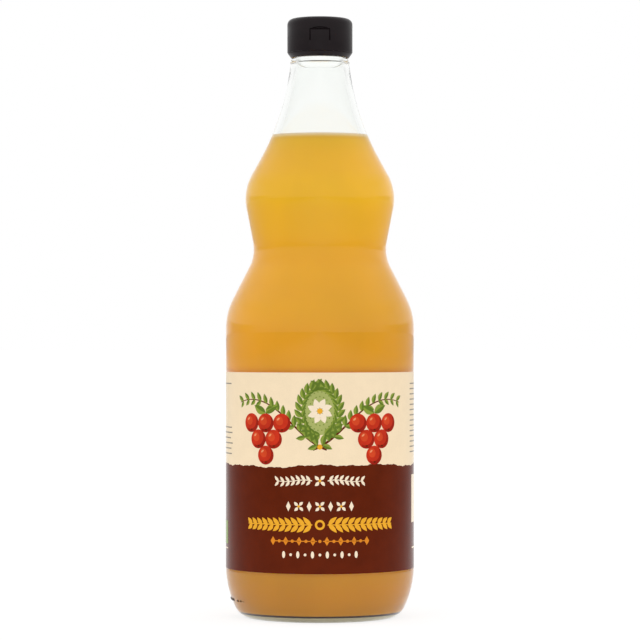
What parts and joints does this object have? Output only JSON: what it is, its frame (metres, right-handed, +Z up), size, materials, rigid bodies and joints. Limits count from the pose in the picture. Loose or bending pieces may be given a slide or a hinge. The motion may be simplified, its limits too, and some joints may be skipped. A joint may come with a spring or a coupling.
{
  "type": "vinegar bottle",
  "caption": "Tall clear glass bottle with a waisted body, filled with cloudy amber vinegar, shut by a black plastic cap and wrapped in a cream and brown paper label.",
  "frame": {"origin": "middle of the foot, on the surface the bottle stands on", "axes": "+Z up along the bottle's axis; the front of the label and the cap's thumb mark face -Y"},
  "size_m": [0.0888, 0.0888, 0.282],
  "materials": {
    "glass": "clear polished glass",
    "vinegar": "cloudy unfiltered liquid",
    "label": "printed coated paper, cream above and brown below",
    "cap": "moulded satin plastic",
    "cap_ring": "moulded satin plastic"
  },
  "bodies": {
    "root": {"glass_bottle": "glass", "vinegar": "vinegar", "label": "label", "cap": "cap", "cap_ring": "cap_ring"}
  },
  "joints": []
}
